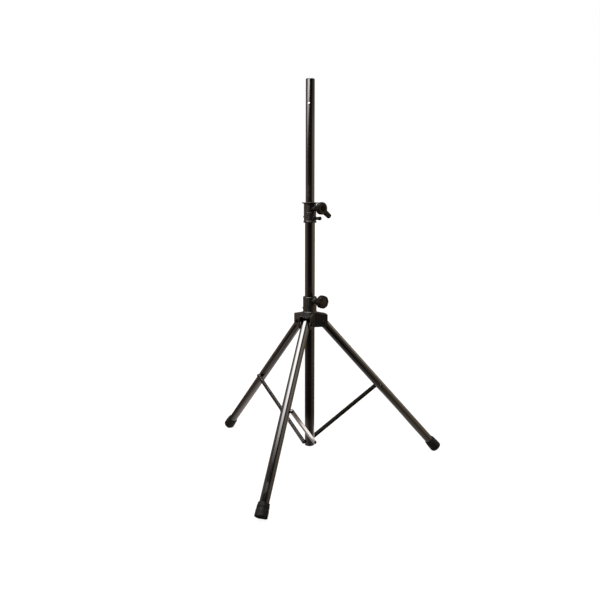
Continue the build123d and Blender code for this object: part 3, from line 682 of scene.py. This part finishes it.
grip = lathe(HUB_KNOB, KNOB_OUT, KNOB_SIDE, refine(rounded(HUB_GRIP_OUTLINE, 7), 0.9),
             segs=192, shape=flute)
install(make_object("hub_knob_grip", grip, sharp=50), "hub_knob", "knob", "hub_knob")
face = lathe(HUB_KNOB, KNOB_OUT, KNOB_SIDE, refine(rounded(HUB_FACE_OUTLINE), 1.2), segs=128)
install(make_object("hub_knob_face", face, sharp=40), "hub_knob", "knob_cap", "hub_knob_cap")

# ---------------------------------------------------------------- upper knob
# A round body and one long wing that points sideways and down, joined into one skin.
UPPER_KNOB = point_at(KNOB_AZIMUTH, 0, UPPER_KNOB_Z)
UPPER_BODY_OUTLINE = [
    (41.5, 0.0), (41.5, 4.2), (41.5, 11.6, 0.5), (42.1, 12.0, 0.6), (51.5, 12.0, 3.0),
    (55.6, 14.5, 2.0), (56.2, 20.0, 1.0), (57.0, 23.8, 3.4), (65.5, 24.5, 3.0),
    (74.5, 23.9, 3.4), (75.0, 13.2, 0.6), (74.7, 12.0, 0.3), (73.8, 11.4, 0.3), (73.8, 0.0)]
UPPER_FACE_OUTLINE = [
    (73.85, 0.0), (73.85, 10.9), (74.2, 11.1, 0.2), (75.0, 11.0, 0.5), (75.5, 10.0, 0.3),
    (75.4, 9.4, 0.2), (75.05, 9.1, 0.2), (75.05, 8.4, 0.2), (75.4, 8.1, 0.3),
    (75.6, 5.0, 3.0), (75.65, 0.0)]
WING_AZIMUTH = radians(-43.0)          # in the knob's plane, from its sideways direction
WING_START, WING_LENGTH = 6, 44.0
WING_SECTIONS, SECTION_POINTS = 26, 48
SECTION_POWER = 3.2                    # squareness of the wing's section
WING_MIN = 0.8                         # least depth and width at the rounded end
HOLLOW_DEPTH, BAR_HEIGHT, BAR_HALF = 1.5, 0.8, 0.85
BAR_PLACES = (31.0, 35.5, 40.0)
wing_dir = KNOB_SIDE * cos(WING_AZIMUTH) + UP * sin(WING_AZIMUTH)
wing_side = unit(np.cross(KNOB_OUT, wing_dir))


def wing_middle(share):
    """Middle of the wing's depth on the knob axis, at a share of its length."""
    return 67.0 + 0.8 * share + 8.2 * share ** 2


def wing_section(share):
    """Rounded rectangle square to the wing."""
    end = sqrt(max(0.0, 1 - max(0.0, (share - 0.9) / 0.104) ** 2))
    depth = max(WING_MIN, (14.6 - 2.6 * share) * (0.45 + 0.55 * end))
    width = 2.6 * (1 - share) ** 2 + 20.4 + 1.2 * sin(pi * share) - 0.8 * share
    width = max(WING_MIN, width * (0.30 + 0.70 * end))
    points = []
    for k in range(SECTION_POINTS):
        c, s = cos(2 * pi * k / SECTION_POINTS), sin(2 * pi * k / SECTION_POINTS)
        x = np.sign(c) * abs(c) ** (2 / SECTION_POWER) * depth / 2
        y = np.sign(s) * abs(s) ** (2 / SECTION_POWER) * width / 2
        points.append(UPPER_KNOB + KNOB_OUT * (wing_middle(share) + x)
                      + wing_dir * (WING_START + WING_LENGTH * share) + wing_side * y)
    return points


def wing():
    points = [p for share in np.linspace(0, 1, WING_SECTIONS) for p in wing_section(share)]
    count, faces = SECTION_POINTS, []
    for row in range(0, (WING_SECTIONS - 1) * count, count):
        for j in range(count):
            k = (j + 1) % count
            faces.append((row + j, row + k, row + count + k, row + count + j))
    faces.append(tuple(range(count)))
    faces.append(tuple(range((WING_SECTIONS - 1) * count, WING_SECTIONS * count)))
    return points, faces


def dish_wing(points):
    """A hollow and three low bars across the outer face of the wing."""
    offset = points - UPPER_KNOB
    along, across, height = offset @ wing_dir, offset @ wing_side, offset @ KNOB_OUT
    share = np.clip((along - WING_START) / WING_LENGTH, 0, 1)
    front = smooth01(height - wing_middle(share), 1.5, 4.5)
    inside = (smooth01(along, 23.5, 27.5) * (1 - smooth01(along, 45.0, 47.5))
              * (1 - smooth01(np.abs(across), 4.6, 6.8)))
    bars = np.maximum.reduce([np.exp(-((along - c) / BAR_HALF) ** 2) for c in BAR_PLACES])
    push = -HOLLOW_DEPTH * front * inside + BAR_HEIGHT * front * inside * bars
    return points + push[:, None] * KNOB_OUT


def remeshed(name, parts, voxel, smooth_steps, after, sharp):
    """Closed shapes joined into one skin with soft inner corners, then moved by after(points)."""
    raw = make_object(name + "_raw", merge(parts))
    remesh = raw.modifiers.new("remesh", "REMESH")
    remesh.mode = "VOXEL"
    remesh.voxel_size = voxel * MM
    remesh.use_smooth_shade = True
    smooth = raw.modifiers.new("smooth", "SMOOTH")
    smooth.factor = 0.5
    smooth.iterations = smooth_steps
    bpy.context.view_layer.update()
    evaluated = raw.evaluated_get(bpy.context.evaluated_depsgraph_get())
    mesh = bpy.data.meshes.new_from_object(evaluated)
    mesh.name = name
    bpy.data.objects.remove(raw)
    points = np.zeros(len(mesh.vertices) * 3)
    mesh.vertices.foreach_get("co", points)
    points = after(points.reshape(-1, 3) / MM - UP * RAISE)
    mesh.vertices.foreach_set("co", ((points + UP * RAISE) * MM).ravel())
    shade_smooth(mesh, sharp)
    return link_object(name, mesh)


body = lathe(UPPER_KNOB, KNOB_OUT, KNOB_SIDE, refine(rounded(UPPER_BODY_OUTLINE, 6), 1.4), segs=120)
grip = remeshed("upper_knob_grip", [body, wing()], voxel=0.55, smooth_steps=5,
                after=dish_wing, sharp=60)
install(grip, "upper_knob", "knob", "upper_knob")
face = lathe(UPPER_KNOB, KNOB_OUT, KNOB_SIDE, refine(rounded(UPPER_FACE_OUTLINE), 1.0), segs=112)
# the upper knob's face wears the darker copy of the cap plastic, painted shade
install(make_object("upper_knob_face", face, sharp=40), "upper_knob", "shade_painted_cap", "upper_knob_cap")

# ---------------------------------------------------------------- threaded studs
THREAD_PITCH, THREAD_DEPTH, THREAD_R = 1.25, 0.62, 3.98


def thread(along, radius, angle):
    if radius < 3.0:
        return radius
    phase = (along / THREAD_PITCH - angle / (2 * pi)) % 1.0
    return radius - THREAD_DEPTH * (abs(phase - 0.5) * 2)


for knob, origin, start, end in (("upper", UPPER_KNOB, 21.5, 65.5), ("hub", HUB_KNOB, 24.0, 72.0)):
    profile = [(start, 0.0), (start, 2.9), (start + 0.45, 3.35)]
    profile += [(along, THREAD_R) for along in np.arange(start + 0.5, end - 0.4, 0.16)]
    profile += [(end, 3.3), (end, 0.0)]
    stud = lathe(origin, KNOB_OUT, KNOB_SIDE, profile, segs=40, shape=thread)
    install(make_object(f"{knob}_stud_thread", stud, sharp=28), f"{knob}_knob", "zinc",
            f"{knob}_knob_stud")

# ---------------------------------------------------------------- lock pin
PULL_OUTLINE = [
    (45.6, 0.0), (45.6, 3.5), (45.6, 6.2, 0.4), (46.2, 6.8, 0.4), (48.4, 6.8, 0.5),
    (49.2, 6.4, 0.8), (51.4, 6.5, 1.5), (53.2, 7.25, 0.8), (58.4, 7.6, 1.4), (60.1, 6.7, 1.0),
    (60.9, 4.3, 2.0), (61.0, 0.0)]
PULL_RIBS, PULL_RIB_DEPTH = 20, 0.32


def pull_ribs(along, radius, angle):
    weight = smooth01(along, 52.6, 53.8) * (1 - smooth01(along, 58.0, 59.4))
    weight = weight * (1.0 if radius > 4.5 else 0.0)
    return radius - PULL_RIB_DEPTH * weight * (0.5 - 0.5 * cos(PULL_RIBS * angle)) ** 0.7


pull = lathe(point_at(KNOB_AZIMUTH, 0, PIN_Z), KNOB_OUT, KNOB_SIDE,
             refine(rounded(PULL_OUTLINE, 6), 0.5), segs=160, shape=pull_ribs)
install(make_object("lock_pin_pull", pull, sharp=50), "lock_pin", "knob", "lock_pin_knob")


# The spring's outer end rests on the barrel and its inner end on the rod's shoulder; the coil is a
# fixed copy of the spring's mesh, attached to no body.
coil = link_object("lock_pin_coil", NODES["lock_pin_spring"].data.copy())
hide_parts("lock_pin_spring")
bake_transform(coil)


# ---------------------------------------------------------------- bolts, rivets and nuts
def button_bolt(origin, axis, zero, seat, head_r, height, shank_r, shank_end,
                socket=0.0, socket_depth=0.0):
    """Dome rising from seat along the axis, and a shank to shank_end. Socket is a hexagon's
    inner radius, or 0 for a plain dome."""
    profile = [(shank_end, 0.0), (shank_end, shank_r), (seat, shank_r),
               (seat, head_r - 0.25), (seat + 0.25, head_r)]
    for k in range(13):
        t = k / 12 * pi / 2
        narrowing = 0.42 + 0.58 * cos(t) if socket else cos(t)
        profile.append((seat + 0.5 + (height - 0.5) * sin(t), head_r * narrowing))
    if socket:
        top = seat + height
        profile += [(top, socket * 1.22), (top - 0.25, socket * 1.05),
                    (top - socket_depth, socket), (top - socket_depth - 0.5, 0.0)]

    def hexed(along, radius, angle):
        if socket and abs(radius - socket) < 1e-6:
            return hexagon(angle, socket)
        if socket and abs(radius - socket * 1.05) < 1e-6:
            return hexagon(angle, socket) * 1.02
        return radius

    return lathe(origin, axis, zero, profile, segs=72, shape=hexed)


# pivot bolts of the legs: heads on one side of the arms, nuts on the other
NUT_SEAT, NUT_TOP = ARM_HALF_WIDTH + 0.05, ARM_HALF_WIDTH + 6.35
NUT_PROFILE = [
    (NUT_SEAT, 4.05), (NUT_SEAT, 6.9), *((NUT_SEAT + k * 0.3, 7.4) for k in range(1, 21)),
    (NUT_TOP, 6.9), (NUT_TOP, 4.6), (ARM_HALF_WIDTH + 5.9, 4.05)]


def nut_flats(along, radius, angle):
    """Hexagon outside with chamfered ends; the bore stays round."""
    if radius < 5:
        return radius
    from_end = min(abs(along - NUT_SEAT), abs(along - NUT_TOP))
    return min(hexagon(angle, 6.45), 6.75 + 1.6 * min(from_end, 0.9))


bolts, nuts = [], []
for azimuth in LEG_AZIMUTHS:
    pivot = point_at(azimuth, PIVOT_R, PIVOT_Z)
    bolts.append(button_bolt(
        pivot, -sideways(azimuth), outward(azimuth), seat=ARM_HALF_WIDTH + 0.05, head_r=7.2,
        height=3.6, shank_r=4.0, shank_end=-ARM_HALF_WIDTH - 7.3, socket=2.55, socket_depth=1.7))
    nuts.append(lathe(pivot, sideways(azimuth), outward(azimuth), NUT_PROFILE, segs=96,
                      shape=nut_flats, closed=True))
install(make_object("leg_pivot_button_bolts", merge(bolts)), "hub", "black_steel",
        "leg_pivot_bolts")
install(make_object("leg_pivot_lock_nuts", merge(nuts), sharp=30), "hub", "black_steel",
        "leg_pivot_nuts")

# shoulder bolts at the foot of the braces
bolts = [button_bolt(point_at(azimuth, BRACE_PIVOT_R, BRACE_PIVOT_Z), sideways(azimuth),
                     outward(azimuth), seat=BRACE_OUT + 0.15, head_r=6.0, height=3.4,
                     shank_r=3.0, shank_end=7.3, socket=2.0, socket_depth=1.5)
         for azimuth in LEG_AZIMUTHS]
install(make_object("brace_shoulder_bolts", merge(bolts)), "column", "black_steel",
        "brace_pivot_bolts")

# upper end of each brace: a bolt through the leg, its head on the side away from the brace,
# and a rivet with a shoulder inside the brace's channel and a dome outside
SHOULDER_IN, SHOULDER_OUT = BRACE_IN + 0.2, BRACE_OUT - BRACE_WALL - 0.1
SHOULDER_OUTLINE = [(SHOULDER_IN, 3.02), (SHOULDER_IN, 5.5, 0.4),
                    (SHOULDER_OUT, 5.5, 0.4), (SHOULDER_OUT, 3.02)]
for n, azimuth in enumerate(LEG_AZIMUTHS, start=1):
    origin, across, down = point_at(azimuth, BOLT_R, BOLT_Z), sideways(azimuth), leg_direction(azimuth)
    bolt = button_bolt(origin, -across, down, seat=LEG_R + 0.1, head_r=6.4, height=3.9,
                       shank_r=3.0, shank_end=-(BRACE_IN - 0.5))
    install(make_object(f"leg_{n}_domed_bolt", bolt), f"leg_{n}", "black_steel",
            f"leg_{n}_brace_bolt")
    rivet = button_bolt(origin, across, down, seat=BRACE_OUT + 0.05, head_r=6.2, height=3.5,
                        shank_r=3.0, shank_end=BRACE_IN + 0.9)
    shoulder = lathe(origin, across, down, rounded(SHOULDER_OUTLINE, 4), segs=64, closed=True)
    install(make_object(f"brace_{n}_domed_rivet", merge([rivet, shoulder])), f"brace_{n}",
            "black_steel", f"brace_{n}_top_rivet")

# ---------------------------------------------------------------- weld beads
# One upright bead in each inner corner of the bracket, midway between two legs.
BEAD_AT = ARM_HALF_WIDTH / sin(radians(60)) - 0.2
BEAD_TOP, BEAD_STEP = 603.5, 0.55
BEAD_R, RIPPLE, RIPPLE_PITCH = 2.0, 0.26, 2.1
rng = np.random.default_rng(7)
heights = np.arange(ARM_Z0 + 3.0, BEAD_TOP, BEAD_STEP)
beads = []
for azimuth in LEG_AZIMUTHS:
    phase = rng.uniform(0, 1)
    profile = [(heights[0] - 0.5, 0.0)]
    for z in heights:
        ripple = RIPPLE * (1 - abs(((z / RIPPLE_PITCH + phase) % 1.0) * 2 - 1)) ** 0.8
        taper = min(1.0, (z - heights[0]) / 2.0 + 0.25, (heights[-1] - z) / 2.0 + 0.25)
        profile.append((z, (BEAD_R + ripple) * taper))
    profile.append((heights[-1] + 0.5, 0.0))
    corner = azimuth + 60
    beads.append(lathe(point_at(corner, BEAD_AT, 0), UP, outward(corner), profile, segs=28))
install(make_object("hub_weld_beads", merge(beads), sharp=50), "hub", "bracket")

# ---------------------------------------------------------------- camera, metres
CAMERA_AT = (0.78853, -2.57915, 1.0670 + RAISE * MM)
VIEW = np.array([-0.302867, 0.941063, -0.150571])
VIEW_RIGHT = np.array([0.951916, 0.306360, 0.0])
camera_data = bpy.data.cameras.new("camera")
camera_data.sensor_width = 36.0
camera_data.lens = 40.596
camera_data.clip_start, camera_data.clip_end = 0.05, 200.0
camera = link_object("camera", camera_data)
columns = (VIEW_RIGHT, np.cross(VIEW_RIGHT, VIEW), -VIEW, CAMERA_AT)
camera.matrix_world = Matrix([*zip(*columns), (0, 0, 0, 1)])
bpy.context.scene.camera = camera

# ---------------------------------------------------------------- studio tools
# Azimuths here are degrees round the stand from the camera's side, positive to picture left.
TO_CAMERA = (0.30634, -0.95192, 0.0)
TO_LEFT = (-0.95192, -0.30634, 0.0)
DEGREES = 180 / pi
RAMP_TOP = 4.0   # brightness stored as 1 in a ramp

# (azimuth, brightness) of the walls, of the floor further out and of the floor near the stand
WALLS = (
    (-180, 0.20), (-150, 0.22), (-136, 0.45), (-120, 0.85), (-96, 1.35), (-73, 1.90), (-60, 1.45),
    (-53, 1.05), (-44, 0.45), (-34, 0.13), (-18, 0.05), (0, 0.04), (18, 0.045), (36, 0.12),
    (54, 0.42), (75, 1.05), (98, 0.98), (110, 0.72), (122, 0.48), (145, 0.22), (180, 0.20))
MIDDLE_FLOOR = (
    (-180, 0.35), (-150, 0.35), (-127, 0.55), (-100, 0.62), (-73, 0.75), (-56, 0.66), (-42, 0.42),
    (-32, 0.18), (-20, 0.06), (0, 0.05), (20, 0.05), (34, 0.08), (48, 0.14), (70, 0.18),
    (84, 0.20), (92, 0.34), (100, 0.48), (112, 0.60), (120, 0.40), (128, 0.14), (140, 0.15),
    (155, 0.32), (180, 0.35))
NEAR_FLOOR = (
    (-180, 1.15), (-160, 1.05), (-124, 0.90), (-95, 1.05), (-80, 1.00), (-65, 0.66), (-40, 0.42),
    (-15, 0.30), (5, 0.32), (34, 0.50), (60, 0.95), (74, 1.15), (100, 1.05), (118, 1.15),
    (128, 1.60), (138, 2.15), (148, 1.80), (160, 1.30), (180, 1.15))


def studio_azimuth(direction):
    return math_op("ARCTAN2", dot(direction, TO_LEFT), dot(direction, TO_CAMERA)) * DEGREES


def ring_tone(azimuth, stops, left=(1.05, 0.75, 0.63), right=(1.05, 0.79, 0.53)):
    """Colour by azimuth: grey towards the camera, tinted by left or right away from it."""
    tone = node("ShaderNodeValToRGB", {0: math_op("MULTIPLY_ADD", azimuth, 1 / 360.0, 0.5)})
    ramp = tone.socket.node.color_ramp
    ramp.interpolation = "LINEAR"
    while len(ramp.elements) > 1:
        ramp.elements.remove(ramp.elements[-1])
    for k, (angle, brightness) in enumerate(stops):
        weight = max(0.0, min(1.0, (abs(angle) - 20.0) / 25.0))
        tint = left if angle > 0 else right
        position = (angle + 180.0) / 360.0
        stop = ramp.elements[0] if k == 0 else ramp.elements.new(position)
        stop.position = position
        stop.color = (*(brightness / RAMP_TOP * (1.0 + (c - 1.0) * weight) for c in tint), 1.0)
    return scale(tone, RAMP_TOP)


def is_camera_ray():
    return node("ShaderNodeLightPath", output="Is Camera Ray")


# ---------------------------------------------------------------- world: walls and lights
def wall_light(azimuth, elevation):
    """Ring of walls, darker high up and darker still high on the right."""
    high = fade(elevation, start=5.0, end=9.0)
    on_right = fade(azimuth * -1.0, start=5, end=25)
    wall = scale(ring_tone(azimuth, WALLS), 1.0 - high * on_right * 0.74)
    return scale(wall, fade(elevation, start=14.0, end=32.0, before=1.0, after=0.35))


def strip_light(azimuth, elevation):
    """Long strip at the left, its far end lower."""
    brightness = 16.5
    above = elevation - (12.33 - azimuth * 0.073)   # degrees above the strip's middle line
    return (fade(azimuth, start=7, end=19) * fade(azimuth, start=92, end=34, kind="LINEAR")
            * fade(above, start=-3.6, end=-0.2) * fade(above, start=3.4, end=1.2) * brightness)


def ceiling_light(direction, rise):
    """Overhead soft box, by its place on a ceiling of unit height."""
    brightness = 21.5
    spread = math_op("DIVIDE", 1.0, math_op("MAXIMUM", rise, 0.05))
    nearer = dot(direction, TO_CAMERA) * spread
    left = dot(direction, TO_LEFT) * spread
    return (fade(nearer * 0.944 + left * 0.33, start=0.615, end=0.44)
            * fade(nearer * 0.583 + left * 0.812, start=0.95, end=0.52)
            * fade(left, start=-0.20, end=-0.05) * fade(nearer, start=-0.34, end=-0.12)
            * fade(rise, start=0.05, end=0.2) * brightness)


def right_light(azimuth, elevation):
    """Weaker light at the upper right, with a slanting near edge."""
    brightness = 2.2
    right = azimuth * -1.0
    return (fade(right + (elevation - 25.0) * 1.04, start=62.0, end=82.0)
            * fade(right, start=150, end=118) * fade(elevation, start=5.0, end=20.0)
            * fade(elevation, start=62, end=34) * brightness)


def left_rear_light(azimuth, elevation):
    brightness = 2.0
    return (fade(azimuth, start=100, end=114) * fade(azimuth, start=136, end=122)
            * fade(elevation, start=17, end=27) * fade(elevation, start=46, end=34) * brightness)


world = bpy.data.worlds.new("studio")
bpy.context.scene.world = world
start_tree(world)
direction = node("ShaderNodeTexCoord", output="Generated")
rise = split(direction)[2]
azimuth = studio_azimuth(direction)
elevation = math_op("ARCSINE", rise) * DEGREES
room_fill = 0.03
main_light = strip_light(azimuth, elevation) + ceiling_light(direction, rise) + room_fill
light = wall_light(azimuth, elevation)
for tint, brightness in (((1.0, 0.985, 0.97), main_light),
                         ((1.0, 0.88, 0.76), right_light(azimuth, elevation)),
                         ((1.0, 0.86, 0.80), left_rear_light(azimuth, elevation))):
    light = vector_op("ADD", light, tinted(tint, brightness))
backdrop = mix(light, (1.0, 1.0, 1.0), amount=is_camera_ray())   # plain white to the camera
background = node("ShaderNodeBackground", {"Color": backdrop, "Strength": 1.0})
add_node("ShaderNodeOutputWorld", {0: background})


# ---------------------------------------------------------------- floor
def floor_glow(position):
    """Light the floor gives to the stand: bright near it and shaded beyond. Metres."""
    azimuth = studio_azimuth(position)
    x, y, _ = split(position)
    radius = vector_op("LENGTH", xyz(x, y, 0.0), output="Value")
    near = mix(tinted((1.0, 0.90, 0.86), 0.80),
               ring_tone(azimuth, NEAR_FLOOR, left=(1.0, 0.88, 0.82), right=(1.0, 0.88, 0.78)),
               amount=fade(radius, start=0.10, end=0.26))
    middle = scale(ring_tone(azimuth, MIDDLE_FLOOR),
                   fade(radius, start=0.95, end=1.8, before=0.72, after=1.0))
    tone = mix(near, middle, amount=fade(radius, start=0.42, end=0.66))
    # one round bright patch
    patch_distance = vector_op("DISTANCE", xyz(x, y, 0.0), (0.165, 0.345, 0.0), output="Value")
    patch = fade(patch_distance, start=0.15, end=0.07) * 2.9
    tone = vector_op("ADD", tone, tinted((1.0, 0.94, 0.89), patch))
    return mix(tone, ring_tone(azimuth, WALLS), amount=fade(radius, start=2.4, end=6.0))


def floor_paper():
    """Pale paper to the camera, and the studio's floor light to everything else."""
    material = bpy.data.materials.new("floor_paper")
    start_tree(material)
    position = node("ShaderNodeNewGeometry", output="Position")
    glow = node("ShaderNodeEmission", {0: floor_glow(position)})
    paper = 0.985 + noise(position, scale=900.0) * 0.03
    white = (1.0, 1.0, 1.0)
    shadowed = node("ShaderNodeBsdfDiffuse", {"Color": tinted(white, paper * 0.055)})
    lit = node("ShaderNodeEmission", {0: tinted(white, paper * 0.93)})
    seen = node("ShaderNodeAddShader", {0: shadowed, 1: lit})
    picked = node("ShaderNodeMixShader", {0: is_camera_ray(), 1: glow, 2: seen})
    add_node("ShaderNodeOutputMaterial", {0: picked})
    return material


bm = bmesh.new()
bmesh.ops.create_grid(bm, x_segments=24, y_segments=24, size=40.0)
floor_mesh = bpy.data.meshes.new("floor")
bm.to_mesh(floor_mesh)
bm.free()
floor_mesh.materials.append(floor_paper())
floor = link_object("floor", floor_mesh)
floor.location = (0, 0, -0.0002)   # just under the soles

view = bpy.context.scene.view_settings
view.view_transform = "Standard"
view.look = "None"
view.exposure = 0.0
view.gamma = 1.0
